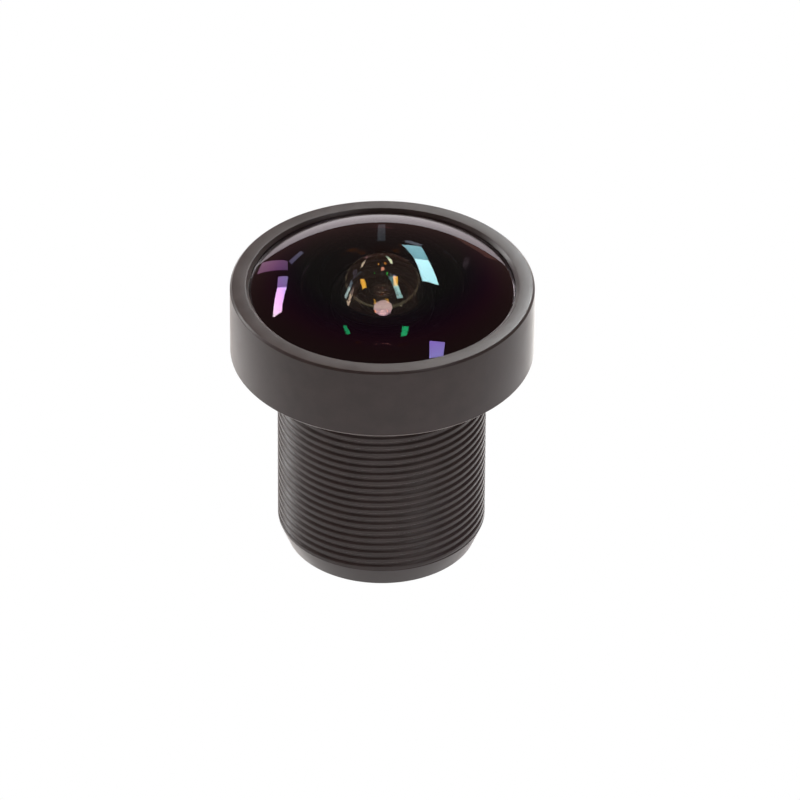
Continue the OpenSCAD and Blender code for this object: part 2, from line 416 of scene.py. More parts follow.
def rounded(corners: list[Corner], steps: int = 4, most: float = 0.45) -> list[Point]:
    """Round the inner corners of an open outline.

    Args:
        corners: The corners in order. The first and last stay sharp.
        steps: Number of edges in each rounding.
        most: Share of a straight stretch that one rounding may use up.

    Returns:
        The points of the outline.
    """
    points: list[Point] = [(corners[0].r, corners[0].z)]
    for before, corner, after in zip(corners, corners[1:], corners[2:]):
        here = Vector((corner.r, corner.z))
        back = Vector((before.r, before.z)) - here
        on = Vector((after.r, after.z)) - here
        if corner.round <= 0.0:
            points.append((corner.r, corner.z))
            continue
        turn = back.angle(on)
        cut = min(corner.round / math.tan(turn / 2), most * back.length, most * on.length)
        start, end = here + back.normalized() * cut, here + on.normalized() * cut
        for step in range(steps + 1):
            share = step / steps
            bent = (1 - share) ** 2 * start + 2 * share * (1 - share) * here + share ** 2 * end
            points.append((bent.x, bent.y))
    points.append((corners[-1].r, corners[-1].z))
    return points


def ball_radius(width: float, height: float) -> float:
    """Give the radius of the sphere whose cap has a width and a height, in the same unit."""
    return (width * width / 4 + height * height) / (2 * height)


def lens_face(edge_r: float, edge_z: float, rise: float, steps: int = 48) -> list[Point]:
    """Run along a spherical lens face from the axis to its edge.

    Args:
        edge_r: Distance of the edge from the axis.
        edge_z: Height of the edge.
        rise: How far the pole lies above the edge, negative below it.
        steps: Number of edges along the face.

    Returns:
        The points from the pole to the edge.
    """
    if abs(rise) < NOTHING:
        return [(edge_r * step / steps, edge_z) for step in range(steps + 1)]
    ball = ball_radius(2 * edge_r, abs(rise))
    reach = math.asin(min(1.0, edge_r / ball))
    if abs(rise) > ball:
        reach = math.pi - reach
    side = math.copysign(1.0, rise)
    middle = edge_z + rise - side * ball
    return [(ball * math.sin(reach * step / steps), middle + side * ball * math.cos(reach * step / steps))
            for step in range(steps + 1)]


# Meshes


def add_mesh(mesh: bmesh.types.BMesh, name: str) -> bpy.types.Object:
    """Make an object of a mesh and put it in the scene.

    Args:
        mesh: The mesh, in metres. It is freed.
        name: Name of the object.

    Returns:
        The new object.
    """
    data = bpy.data.meshes.new(name)
    mesh.to_mesh(data)
    mesh.free()
    made = bpy.data.objects.new(name, data)
    bpy.context.scene.collection.objects.link(made)
    return made


def finish_mesh(mesh: bmesh.types.BMesh, name: str, crease: float = 30.0) -> bpy.types.Object:
    """Close a mesh, turn its faces outwards and make it an object at the origin.

    Args:
        mesh: The mesh, in metres. It is freed.
        name: Name of the object.
        crease: Angle in degrees from which an edge stays sharp.

    Returns:
        The new object.
    """
    bmesh.ops.remove_doubles(mesh, verts=mesh.verts, dist=JOIN_DISTANCE)
    bmesh.ops.dissolve_degenerate(mesh, edges=mesh.edges, dist=JOIN_DISTANCE / 5)
    bmesh.ops.recalc_face_normals(mesh, faces=mesh.faces)
    piece = add_mesh(mesh, name)
    piece.data.polygons.foreach_set("use_smooth", [True] * len(piece.data.polygons))
    piece.data.set_sharp_from_angle(angle=math.radians(crease))
    return piece


def sweep(mesh: bmesh.types.BMesh, points: list[Point], closed: bool, segments: int = SEGMENTS) -> None:
    """Turn an outline round the axis into faces.

    Args:
        mesh: The mesh that the faces go into.
        points: The outline, in millimetres.
        closed: Whether its last point joins its first.
        segments: Number of steps round the axis.
    """
    rings = []
    for r, z in points:
        if r < NOTHING:
            rings.append([mesh.verts.new((0.0, 0.0, z * MM))] * segments)
            continue
        rings.append([mesh.verts.new((
            r * MM * math.cos(FRONT + 2 * math.pi * step / segments),
            r * MM * math.sin(FRONT + 2 * math.pi * step / segments), z * MM)) for step in range(segments)])
    pairs = list(zip(rings, rings[1:]))
    if closed:
        pairs.append((rings[-1], rings[0]))
    for low, high in pairs:
        for step in range(segments):
            after = (step + 1) % segments
            corners = [low[step], low[after], high[after], high[step]]
            kept = [v for place, v in enumerate(corners) if v not in corners[:place]]
            if len(kept) > 2:
                mesh.faces.new(kept)


def turned(name: str, points: list[Point], closed: bool = True, crease: float = 30.0) -> bpy.types.Object:
    """Make a turned piece from its outline.

    Args:
        name: Name of the piece.
        points: The outline, in millimetres.
        closed: Whether its last point joins its first.
        crease: Angle in degrees from which an edge stays sharp.

    Returns:
        The new object.
    """
    mesh = bmesh.new()
    sweep(mesh, points, closed)
    return finish_mesh(mesh, name, crease)


def box_mm(node: str) -> tuple[float, float, float]:
    """Give a round CAD node's radius, lowest and highest height, in millimetres."""
    low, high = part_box(node)
    return high.x / MM, low.z / MM, high.z / MM


def place(piece: bpy.types.Object, node: str, slot: Slot) -> bpy.types.Object:
    """Put a piece in the place of a CAD node.

    Args:
        piece: The finished piece.
        node: The node that it stands for.
        slot: Its material slot. Not used.

    Returns:
        The piece.
    """
    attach(piece, BODY)
    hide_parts(node)
    LOG.info("%s stands for %s with %d faces", piece.name, node, len(piece.data.polygons))
    return piece


def dress(node: str, material: bpy.types.Material) -> None:
    """Give a CAD node its material.

    Args:
        node: Name of the node.
        material: The material.
    """
    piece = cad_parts[node]
    piece.data.materials.clear()
    piece.data.materials.append(material)
    LOG.info("%s keeps its CAD mesh", node)


# The mounting thread


@dataclass
class Thread:
    """The helical skin of the mounting thread, made by geometry nodes.

    Args:
        radius: Outer radius of the thread, in millimetres.
        low: Height at which it starts.
        high: Height at which it ends.
        pitch: Distance between two grooves.
        groove: Width of a groove at its mouth.
        depth: Depth of a groove.
        first: Height of a groove's middle at the front.
        half_angle: Half the angle between the flanks of a groove, in degrees.
        soft: Share of the pitch over which crests and roots are rounded.
        runout: Height over which the grooves fade in and out.
        rows: Rows of points on each turn.
    """

    radius: float
    low: float
    high: float
    pitch: float = 0.5
    groove: float = 0.29
    depth: float = 0.13
    first: float = 1.18
    half_angle: float = 30.0
    soft: float = 0.14
    runout: float = 0.25
    rows: int = 12

    def tree(self) -> bpy.types.NodeTree:
        """Build the node tree that bends a grid into the thread.

        Returns:
            The geometry node tree.
        """
        tree = bpy.data.node_groups.new("thread_skin", "GeometryNodeTree")
        tree.interface.new_socket("Geometry", in_out="OUTPUT", socket_type="NodeSocketGeometry")
        for name in ("Radius", "Low", "High", "Pitch", "Groove", "Depth", "First", "Runout"):
            tree.interface.new_socket(name, in_out="INPUT", socket_type="NodeSocketFloat")
        for name in ("Around", "Rows", "Rows Per Turn"):
            tree.interface.new_socket(name, in_out="INPUT", socket_type="NodeSocketInt")
        tree.interface.new_socket("Material", in_out="INPUT", socket_type="NodeSocketMaterial")
        wiring = Wiring(tree)
        given = wiring.add("NodeGroupInput").outputs
        maths = wiring.maths

        around = maths("ADD", given["Around"], 1.0)
        along = maths("ADD", given["Rows"], 1.0)
        grid = wiring.add("GeometryNodeMeshGrid", {
            "Size X": 1.0, "Size Y": 1.0, "Vertices X": around, "Vertices Y": along}).outputs["Mesh"]
        flat = wiring.add("GeometryNodeInputPosition").outputs[0]
        at = wiring.add("ShaderNodeSeparateXYZ", {0: flat}).outputs
        turn = maths("ADD", at["X"], 0.5)
        row = maths("MULTIPLY", maths("ADD", at["Y"], 0.5), given["Rows"])

        # Each row climbs by one pitch as it goes round, and is cut off at both ends of the thread
        climb = maths("MULTIPLY", given["Pitch"], maths("SUBTRACT", turn, 1.0))
        step = maths("DIVIDE", given["Pitch"], given["Rows Per Turn"])
        height = maths("ADD", maths("MULTIPLY_ADD", row, step, given["Low"]), climb)
        height = maths("MINIMUM", maths("MAXIMUM", height, given["Low"]), given["High"])

        # Distance from the middle of the nearest groove, and the depth there
        phase = maths("DIVIDE", maths("SUBTRACT", height, given["First"]), given["Pitch"])
        phase = maths("FRACT", maths("ADD", maths("SUBTRACT", phase, turn), 0.5))
        phase = maths("ABSOLUTE", maths("SUBTRACT", phase, 0.5))
        off = maths("MULTIPLY", phase, given["Pitch"])
        inside = maths("SUBTRACT", maths("MULTIPLY", given["Groove"], 0.5), off)
        flank = maths("MULTIPLY", inside, 1.0 / math.tan(math.radians(self.half_angle)))
        blend = maths("MULTIPLY", given["Pitch"], self.soft)
        cut = maths("SMOOTH_MAX", flank, 0.0, blend)
        cut = maths("SMOOTH_MIN", cut, given["Depth"], blend)

        # The last trace of the rounding comes off, so that the crests reach the full radius
        cut = maths("MAXIMUM", maths("SUBTRACT", cut, maths("MULTIPLY", blend, 0.01)), 0.0)
        fade_in = maths("DIVIDE", maths("SUBTRACT", height, given["Low"]), given["Runout"])
        fade_out = maths("DIVIDE", maths("SUBTRACT", given["High"], height), given["Runout"])
        fade = maths("MINIMUM", maths("MINIMUM", fade_in, fade_out), 1.0)
        reach = maths("SUBTRACT", given["Radius"], maths("MULTIPLY", cut, fade))

        angle = maths("MULTIPLY_ADD", turn, 2 * math.pi, FRONT)
        spot = wiring.add("ShaderNodeCombineXYZ", {
            "X": maths("MULTIPLY", reach, maths("COSINE", angle)),
            "Y": maths("MULTIPLY", reach, maths("SINE", angle)), "Z": height}).outputs[0]
        bent = wiring.add("GeometryNodeSetPosition", {"Geometry": grid, "Position": spot}).outputs[0]
        welded = wiring.add("GeometryNodeMergeByDistance", {
            "Geometry": bent, "Distance": JOIN_DISTANCE}).outputs[0]
        real = wiring.add("GeometryNodeRealizeInstances", {"Geometry": welded}).outputs[0]
        dyed = wiring.add("GeometryNodeSetMaterial", {
            "Geometry": real, "Material": given["Material"]}).outputs[0]
        wiring.add("NodeGroupOutput", {"Geometry": dyed})
        return tree

    def skin(self, material: bpy.types.Material) -> bpy.types.Mesh:
        """Build the skin as a plain mesh.

        Args:
            material: The finish of the barrel.

        Returns:
            The mesh, open at both ends.
        """
        carrier = bpy.data.objects.new("thread_carrier", bpy.data.meshes.new("thread_carrier"))
        bpy.context.scene.collection.objects.link(carrier)
        modifier = carrier.modifiers.new("thread", "NODES")
        modifier.node_group = self.tree()
        rows = math.ceil(((self.high - self.low) / self.pitch + 1.0) * self.rows)
        values = {
            "Radius": self.radius * MM, "Low": self.low * MM, "High": self.high * MM,
            "Pitch": self.pitch * MM, "Groove": self.groove * MM, "Depth": self.depth * MM,
            "First": self.first * MM, "Runout": self.runout * MM,
            "Around": SEGMENTS, "Rows": rows, "Rows Per Turn": self.rows, "Material": material}
        for item in modifier.node_group.interface.items_tree:
            if item.in_out == "INPUT" and item.name in values:
                modifier[item.identifier] = values[item.name]
        bpy.context.view_layer.update()
        shape = carrier.evaluated_get(bpy.context.evaluated_depsgraph_get())
        skin = bpy.data.meshes.new_from_object(shape)
        carrier.modifiers.clear()
        bpy.data.objects.remove(carrier)
        return skin


# Sub-assemblies


@dataclass
class Barrel:
    """The barrel: taper, thread, relief, shoulder, hub, nose, bore and the seat of the retaining ring.

    Args:
        rear_r: Outer radius of the rear face, in millimetres like all that follow.
        relief_r: Radius of the relief over the thread.
        relief_low: Height at which the relief starts.
        shoulder: Height of the shoulder under the head.
        undercut: How far the relief cuts up into the shoulder and out past the thread.
        seal_low: Height of the floor of the seal's groove.
        seal_in: Inner radius of that groove.
        seal_out: Outer radius of that groove.
        trough_out: Outer radius of the trough round the nose.
        trough_low: Height of the trough's floor.
        nose_r: Outer radius of the nose.
        pocket_r: Radius of the second lens's pocket in the nose.
        ledge_high: Height of the ledge under the second lens.
        ledge_r: Radius of the opening in the ledge.
        ledge_low: Height of the ledge's underside.
        bore_r: Radius of the bore behind the ledge.
        collar_z: Height at which the bore widens for the retaining ring.
        seat_r: Radius of the ring's seat.
        lead: Width of the bevel at the mouth of that seat.
        dark_reach: How far under the front lens's seat the inside finish starts.
        soft: Rounding of the edges that show.
        crisp: Rounding of the other edges.
        thread: The mounting thread, which starts where the taper ends.
    """

    rear_r: float = 5.5
    relief_r: float = 5.6
    relief_low: float = 12.05
    shoulder: float = 12.55
    undercut: float = 0.1
    seal_low: float = 14.772
    seal_in: float = 6.05
    seal_out: float = 6.75
    trough_out: float = 4.174
    trough_low: float = 14.67
    nose_r: float = 3.674
    pocket_r: float = 3.274
    ledge_high: float = 13.84
    ledge_r: float = 2.5
    ledge_low: float = 13.24
    bore_r: float = 4.5
    collar_z: float = 2.55
    seat_r: float = 4.75
    lead: float = 0.12
    dark_reach: float = 1.0
    soft: float = 0.06
    crisp: float = 0.02
    thread: Thread = field(default_factory=lambda: Thread(radius=6.0, low=1.25, high=11.85))

    def outline(self) -> list[Point]:
        """Run round the barrel from the top of its thread to the bottom of its thread.

        Returns:
            The points of the outline.
        """
        hub_r, _, nose_top = box_mm("barrel")
        seat = box_mm("front_lens")[1]
        soft, crisp = self.soft, self.crisp
        return rounded([
            Corner(self.thread.radius, self.thread.high),
            Corner(self.relief_r, self.relief_low, soft),
            Corner(self.relief_r, self.shoulder + self.undercut, soft),
            Corner(self.thread.radius + self.undercut, self.shoulder + self.undercut, crisp),
            Corner(self.thread.radius + self.undercut, self.shoulder, crisp),
            Corner(hub_r, self.shoulder, soft),
            Corner(hub_r, seat, 2 * soft),
            Corner(self.seal_out, seat, crisp),
            Corner(self.seal_out, self.seal_low, crisp),
            Corner(self.seal_in, self.seal_low, crisp),
            Corner(self.seal_in, seat, crisp),
            Corner(self.trough_out, seat, crisp),
            Corner(self.trough_out, self.trough_low, soft),
            Corner(self.nose_r, self.trough_low, soft),
            Corner(self.nose_r, nose_top, crisp),
            Corner(self.pocket_r, nose_top, crisp),
            Corner(self.pocket_r, self.ledge_high, crisp),
            Corner(self.ledge_r, self.ledge_high, crisp),
            Corner(self.ledge_r, self.ledge_low, crisp),
            Corner(self.bore_r, self.ledge_low, crisp),
            Corner(self.bore_r, self.collar_z, crisp),
            Corner(self.seat_r, self.collar_z, crisp),
            Corner(self.seat_r, self.lead, crisp),
            Corner(self.seat_r + self.lead, 0.0, crisp),
            Corner(self.rear_r, 0.0, soft),
            Corner(self.thread.radius, self.thread.low),
        ])

    def build(self, outside: bpy.types.Material, inside: bpy.types.Material) -> bpy.types.Object:
        """Build the barrel and its thread as one mesh.

        Args:
            outside: Finish of the faces that show.
            inside: Finish of the faces under the front lens and in the bore.

        Returns:
            The piece.
        """
        mesh = bmesh.new()
        mesh.from_mesh(self.thread.skin(outside))
        sweep(mesh, self.outline(), closed=False)
        piece = finish_mesh(mesh, "barrel_body", crease=40.0)
        piece.data.materials.clear()
        piece.data.materials.append(outside)
        piece.data.materials.append(inside)
        for edge in piece.data.edges:
            ends = [piece.data.vertices[end].co / MM for end in edge.vertices]
            on_skin = math.hypot(*ends[0].xy) > self.bore_r
            for height in (self.thread.low, self.thread.high):
                if on_skin and all(abs(end.z - height) < SAME_HEIGHT for end in ends):
                    edge.use_edge_sharp = True
        dark_from = box_mm("front_lens")[1] - self.dark_reach
        for face in piece.data.polygons:
            spot = face.center / MM
            in_bore = math.hypot(spot.x, spot.y) < self.bore_r + SAME_RADIUS and spot.z > self.collar_z
            face.material_index = int(spot.z > dark_from or in_bore)
        return place(piece, "barrel", Slot.ANODISED)


@dataclass
class FrontCap:
    """The cap round the front lens, whose top falls a little outwards.

    Args:
        lip_r: Inner radius of the lip, in millimetres like all that follow.
        lip_low: Height of the lip's underside.
        pocket_r: Radius of the pocket round the front lens.
        step_z: Height of the step between pocket and skirt.
        skirt_r: Inner radius of the skirt.
        top_edge: Width of the bevel at the outer top edge.
        lip_edge: Width of the bevel at the inner top edge.
        foot_edge: Width of the bevel at the foot.
        fall: How far the top falls from the lip to the outer edge.
        soft: Rounding of the edges that show.
        crisp: Rounding of the other edges.
    """

    lip_r: float = 7.62
    lip_low: float = 16.903
    pocket_r: float = 7.78
    step_z: float = 15.37
    skirt_r: float = 8.14
    top_edge: float = 0.12
    lip_edge: float = 0.18
    foot_edge: float = 0.17
    fall: float = 0.03
    soft: float = 0.04
    crisp: float = 0.02

    def build(self, finish: bpy.types.Material) -> bpy.types.Object:
        """Build the cap.

        Args:
            finish: Its finish.

        Returns:
            The piece.
        """
        radius, foot, top = box_mm("front_cap")
        soft, crisp = self.soft, self.crisp
        middle = Corner(self.pocket_r, (self.step_z + self.lip_low) / 2)
        points = rounded([
            middle,
            Corner(self.pocket_r, self.step_z, crisp),
            Corner(self.skirt_r, self.step_z, crisp),
            Corner(self.skirt_r, foot, crisp),
            Corner(radius - self.foot_edge, foot, soft),
            Corner(radius, foot + self.foot_edge, soft),
            Corner(radius, top - self.fall - self.top_edge, soft),
            Corner(radius - self.top_edge, top - self.fall, soft),
            Corner(self.lip_r + self.lip_edge, top, soft),
            Corner(self.lip_r, top - self.lip_edge, soft),
            Corner(self.lip_r, self.lip_low, crisp),
            Corner(self.pocket_r, self.lip_low, crisp),
            middle,
        ])
        piece = turned("head_cap", points[:-1], crease=50.0)
        piece.data.materials.append(finish)
        return place(piece, "front_cap", Slot.ANODISED)


@dataclass
class Element:
    """A lens element with two faces, each a sphere or flat, and a straight edge.

    Args:
        node: The CAD node that it stands for.
        front_r: Clear radius of its front face.
        front_z: Height of the edge of that face.
        front_rise: How far that face bulges, negative where it is hollow.
        rear_r: Clear radius of its rear face.
        rear_z: Height of the edge of that face.
        rear_rise: How far the rear face's pole lies above its edge, negative where it bulges backwards.
        bevel: Width of the ground bevel at the edge of the rear face.
        gap: How far its flats stay clear of what they lie on.
    """

    node: str
    front_r: float
    front_z: float
    front_rise: float
    rear_r: float
    rear_z: float
    rear_rise: float
    bevel: float = 0.0
    gap: float = 0.01

    def build(self, front_coat: bpy.types.Material, rear_coat: bpy.types.Material,
              ink: bpy.types.Material) -> bpy.types.Object:
        """Build the element.

        Args:
            front_coat: Its glass with the coating of its front face.
            rear_coat: Its glass with the coating of its rear face.
            ink: The black ink on its straight edge and on the flat and bevel of its rear.

        Returns:
            The piece.
        """
        edge_r = box_mm(self.node)[0] - self.gap
        has_flat = self.front_r < edge_r - SAME_RADIUS
        rim_high = self.front_z - (self.gap if has_flat else 0.0)
        rim_low = self.rear_z + self.gap
        front = lens_face(min(self.front_r, edge_r), self.front_z, self.front_rise)
        if has_flat:
            front = front[:-1] + [(self.front_r, rim_high)]
        rear = lens_face(self.rear_r, self.rear_z, self.rear_rise)
        rear = [point for point in rear if point[0] <= self.rear_r]
        if self.rear_rise > 0:
            rear = [point for point in rear if point[1] > rim_low + self.bevel]
        side = [(edge_r, rim_high), (edge_r, rim_low), (self.rear_r + self.bevel, rim_low)]
        points = front + side + rear[::-1]
        piece = turned(self.node + "_glass", points, closed=False, crease=20.0)
        for material in (front_coat, rear_coat, ink):
            piece.data.materials.append(material)
        for face in piece.data.polygons:
            spot = face.center / MM
            across = math.hypot(spot.x, spot.y)
            on_edge = across > edge_r - RIM_BAND and abs(face.normal.z) < 0.5
            on_rear = self.bevel > 0 and spot.z < rim_low + self.bevel and across > self.rear_r
            face.material_index = 2 if on_edge or on_rear else int(face.normal.z < 0)
        return place(piece, self.node, Slot.GLASS)


@dataclass
class FrontGroup:
    """The front lens over its seal, and the second lens in the nose.

    Args:
        dome_h: Height of the dome over its edge, in millimetres like all that follow.
        hollow_r: Radius of the hollow at its mouth.
        hollow_h: Depth of the hollow.
        bevel: Width of the bevel round its mouth.
        second_hollow_r: Radius of the second lens's hollow at its mouth.
        second_hollow_h: Depth of that hollow.
        second_drop: How far the second lens's flat face lies under its CAD face.
        seal_width: Width of the squeezed seal.
        seal_round: Rounding of its edges.
        ring_reach: How far the ring reaches in over the second lens.
        ring_soft: Rounding of the ring's outer edge.
        ring_crisp: Rounding of its other edges.
    """

    dome_h: float = 2.563
    hollow_r: float = 4.05
    hollow_h: float = 3.09
    bevel: float = 0.12
    second_hollow_r: float = 1.95
    second_hollow_h: float = 1.32
    second_drop: float = 0.01
    seal_width: float = 0.6
    seal_round: float = 0.22
    ring_reach: float = 0.22
    ring_soft: float = 0.03
    ring_crisp: float = 0.02

    def build(self, coats: Coats, rubber: bpy.types.Material, ink: bpy.types.Material,
              paint: bpy.types.Material) -> None:
        """Build the four pieces.

        Args:
            coats: Front and rear coating of each lens.
            rubber: The seal's rubber.
            ink: The black ink on the lenses.
            paint: Finish of the ring on the second lens.
        """
        edge_r, low, high = box_mm("front_lens")
        Element("front_lens", edge_r, high - self.dome_h, self.dome_h,
                self.hollow_r, low, self.hollow_h, self.bevel).build(*coats["front_lens"], ink)
        edge_r, low, high = box_mm("second_lens")
        Element("second_lens", edge_r, high - self.second_drop, 0.0,
                self.second_hollow_r, low, self.second_hollow_h).build(*coats["second_lens"], ink)
        self.seal(rubber)
        self.ring(paint)

    def seal(self, rubber: bpy.types.Material) -> bpy.types.Object:
        """Build the squeezed seal ring.

        Args:
            rubber: Its rubber.

        Returns:
            The piece.
        """
        outer, low, high = box_mm("front_seal")
        inner, soft = outer - self.seal_width, self.seal_round
        middle = (low + high) / 2
        points = rounded([
            Corner(inner, middle), Corner(inner, high, soft), Corner(outer, high, soft),
            Corner(outer, low, soft), Corner(inner, low, soft), Corner(inner, middle)], steps=8)
        piece = turned("seal_ring", points[:-1], crease=60.0)
        piece.data.materials.append(rubber)
        return place(piece, "front_seal", Slot.RUBBER)

    def ring(self, paint: bpy.types.Material) -> bpy.types.Object:
        """Build the ring that holds the second lens.

        Args:
            paint: Its finish.

        Returns:
            The piece.
        """
        outer, low, high = box_mm("second_lens_ring")
        bore = box_mm("second_lens")[0] - self.ring_reach
        middle, crisp = (low + high) / 2, self.ring_crisp
        points = rounded([
            Corner(outer, middle), Corner(outer, high, self.ring_soft),
            Corner(bore + high - low, high, crisp), Corner(bore, low + crisp / 2),
            Corner(outer, low, crisp), Corner(outer, middle)])
        piece = turned("second_ring", points[:-1], crease=40.0)
        piece.data.materials.append(paint)
        return place(piece, "second_lens_ring", Slot.INNER)


@dataclass
class RearGroup:
    """The third to sixth lenses, their cells and spacers, the retaining ring and the filter glass.

    Args:
        third_clear: Clear radius of the third lens, in millimetres like all that follow.
        third_front: Height of its front face's bulge.
        third_rear: Height of its rear face's bulge.
        fourth_front: Height of the fourth lens's front bulge.
        cement: Height of the bulge where the pair is cemented.
        cement_gap: How far the two lenses are apart there at the edge.
        fifth_clear: Clear radius of the fifth lens's rear face.
        fifth_hollow: Depth of that face.
        sixth_clear: Clear radius of the sixth lens.
        sixth_front: Height of its front face's bulge.
        sixth_rear: Height of its rear face's bulge.
    """

    third_clear: float = 2.0
    third_front: float = 0.764
    third_rear: float = 0.628
    fourth_front: float = 0.67
    cement: float = 1.01
    cement_gap: float = 0.01
    fifth_clear: float = 2.6
    fifth_hollow: float = 0.434
    sixth_clear: float = 3.62
    sixth_front: float = 1.2
    sixth_rear: float = 1.0

    def lenses(self, coats: Coats, ink: bpy.types.Material) -> None:
        """Build the four lenses.

        Args:
            coats: Front and rear coating of each lens.
            ink: The black ink on their edges.
        """
        _, low, high = box_mm("third_lens")
        Element("third_lens", self.third_clear, high - self.third_front, self.third_front, self.third_clear,
                low + self.third_rear, -self.third_rear).build(*coats["third_lens"], ink)
        edge, low, high = box_mm("fourth_lens")
        gap = self.cement_gap
        Element("fourth_lens", edge, high - self.fourth_front, self.fourth_front, edge - 2 * gap,
                low + self.cement - gap, gap - self.cement).build(*coats["fourth_lens"], ink)
        _, low, high = box_mm("fifth_lens")
        Element("fifth_lens", edge, high, -self.cement, self.fifth_clear,
                low, self.fifth_hollow).build(*coats["fifth_lens"], ink)
        _, low, high = box_mm("sixth_lens")
        Element("sixth_lens", self.sixth_clear, high - self.sixth_front, self.sixth_front, self.sixth_clear,
                low + self.sixth_rear, -self.sixth_rear).build(*coats["sixth_lens"], ink)

    def rest(self, inner: bpy.types.Material, film: bpy.types.Material, ring: bpy.types.Material,
             filter_glass: bpy.types.Material) -> None:
        """Dress the pieces that stay CAD meshes.

        Args:
            inner: Finish of the cells and spacers.
            film: Finish of the aperture and the baffle.
            ring: Finish of the retaining ring.
            filter_glass: The filter's glass.
        """
        for node in ("third_lens_ring", "third_lens_cell", "stop_spacer", "pair_cell", "rear_spacer"):
            dress(node, inner)
        for node in ("aperture_stop", "rear_baffle"):
            dress(node, film)
        dress("rear_retainer", ring)
        dress("filter_glass", filter_glass)


# Studio


@dataclass(frozen=True)
class Pane:
    """A bright patch of the room, such as a window, given by the directions of its corners from the lens.

    Args:
        name: Its name.
        corners: Azimuth to the right of straight back and height angle of each corner, in degrees.
        glow: Radiance of its surface.
        tint: Colour of its light.
        away: Distance from the lens in metres.
    """

    name: str
    corners: tuple[tuple[float, float], ...]
    glow: float
    tint: Colour = (1.0, 1.0, 1.0)
    away: float = 1.2

    def build(self, centre: Vector) -> None:
        """Build the pane.

        Args:
            centre: The point that the directions start from.
        """
        mesh = bmesh.new()
        spots = []
        for azimuth, height in self.corners:
            across, up = math.radians(azimuth), math.radians(height)
            way = Vector((math.sin(across) * math.cos(up), math.cos(across) * math.cos(up), math.sin(up)))
            spots.append(mesh.verts.new(centre + way * self.away))
        mesh.faces.new(spots)
        pane = add_mesh(mesh, self.name)
        material = bpy.data.materials.new(self.name)
        material.use_nodes = True
        material.node_tree.nodes.clear()
        wiring = Wiring(material.node_tree)
        light = wiring.add("ShaderNodeEmission", {
            "Color": (*self.tint, 1.0), "Strength": self.glow}).outputs[0]
        wiring.add("ShaderNodeOutputMaterial", {"Surface": light})
        pane.data.materials.append(material)


# What the dome mirrors to the camera: windows, parts of the room, skylights and small coloured lights
PANES = (
    Pane("window_right", ((11.9, 36.6), (16.8, 34.8), (31.5, 48.3), (23.1, 51.0)), 11.0, (0.8, 1.0, 1.0)),
    Pane("window_right_low", ((5.5, 26.2), (11.0, 24.6), (16.8, 34.8), (11.9, 36.6)), 4.5, (0.6, 0.95, 1.0)),
    Pane("window_left", ((-57.0, 36.0), (-38.9, 27.7), (-38.2, 31.8), (-54.6, 39.2)), 11.0),
    Pane("window_left_low", ((-38.9, 27.7), (-32.4, 21.5), (-32.3, 26.7), (-38.2, 31.8)), 3.0,
         (0.85, 0.8, 1.0)),
    Pane("far_left", ((-22.2, 0.0), (-24.2, 15.0), (-29.1, 22.5), (-28.1, 6.2)), 1.0, (1.0, 0.6, 0.9)),
    Pane("far_left_edge", ((-24.5, 16.1), (-19.3, 13.1), (-20.0, 16.4), (-26.0, 20.1)), 0.8, (0.9, 0.8, 1.0)),
    Pane("lintel", ((6.0, 21.0), (10.7, 21.9), (10.5, 24.8), (6.0, 23.4)), 0.9, (0.95, 0.88, 1.0)),
    Pane("post", ((-0.9, 3.0), (0.3, 3.0), (0.6, 23.7), (-1.6, 23.6)), 0.3, (1.0, 0.95, 1.0)),
    Pane("shelf", ((11.0, 0.0), (21.2, 0.0), (21.0, 5.1), (15.7, 4.3)), 0.3, (1.0, 0.55, 0.42)),
    Pane("skylight", ((92.0, 68.3), (88.0, 61.3), (103.3, 60.2), (115.1, 65.1)), 6.5, (0.42, 0.42, 1.0)),
    Pane("green_left", ((-69.0, 71.3), (-68.6, 73.3), (-86.0, 75.7), (-86.0, 73.9)), 6.0, (0.03, 1.0, 0.16)),
    Pane("green_right", ((62.0, 80.0), (66.0, 77.0), (91.5, 78.9), (99.0, 81.4)), 8.0, (0.03, 1.0, 0.16)),
    Pane("gold_left", ((-13.9, 53.8), (-11.5, 54.4), (-12.3, 60.7), (-16.2, 61.0)), 14.0, (1.0, 0.36, 0.04)),
    Pane("gold_right", ((6.2, 53.3), (9.3, 53.1), (11.2, 59.7), (8.6, 60.1)), 14.0, (1.0, 0.36, 0.04)),
    Pane("skylight_round", ((15.6, 74.2), (16.1, 77.3), (8.3, 79.5), (-5.6, 79.6), (-14.1, 77.5),
                            (-14.1, 74.4), (-9.4, 71.8), (-2.9, 70.2), (4.1, 70.1), (10.7, 71.6)),
         9.0, (1.0, 0.45, 0.4)),
)


@dataclass(frozen=True)
class Lamp:
    """A soft round lamp that faces the lens.

    Args:
        name: Its name.
        spot: Where it is, in metres.
        size: Its diameter in metres.
        glow: Radiance of its surface.
    """

    name: str
    spot: tuple[float, float, float]
    size: float
    glow: float

    def build(self, lit: bpy.types.Collection) -> None:
        """Add the lamp.

        Args:
            lit: The only things that it lights.
        """
        data = bpy.data.lights.new(self.name, "AREA")
        data.shape = "DISK"
        data.size = self.size
        data.energy = self.glow * math.pi * math.pi * self.size * self.size / 4
        lamp = bpy.data.objects.new(self.name, data)
        lamp.location = self.spot
        lamp.rotation_euler = Vector(self.spot).to_track_quat("Z", "Y").to_euler()
        lamp.light_linking.receiver_collection = lit
        bpy.context.scene.collection.objects.link(lamp)


LAMPS = (
    Lamp("key_right", (0.28, 0.96, 0.66), 0.38, 24.0),
    Lamp("key_left", (-0.95, 0.50, 0.45), 0.38, 11.0),
    Lamp("key_top", (0.50, -0.40, 1.05), 0.38, 3.0),
    Lamp("front_fill", (0.0, -1.2, 0.3), 0.75, 2.1),
)


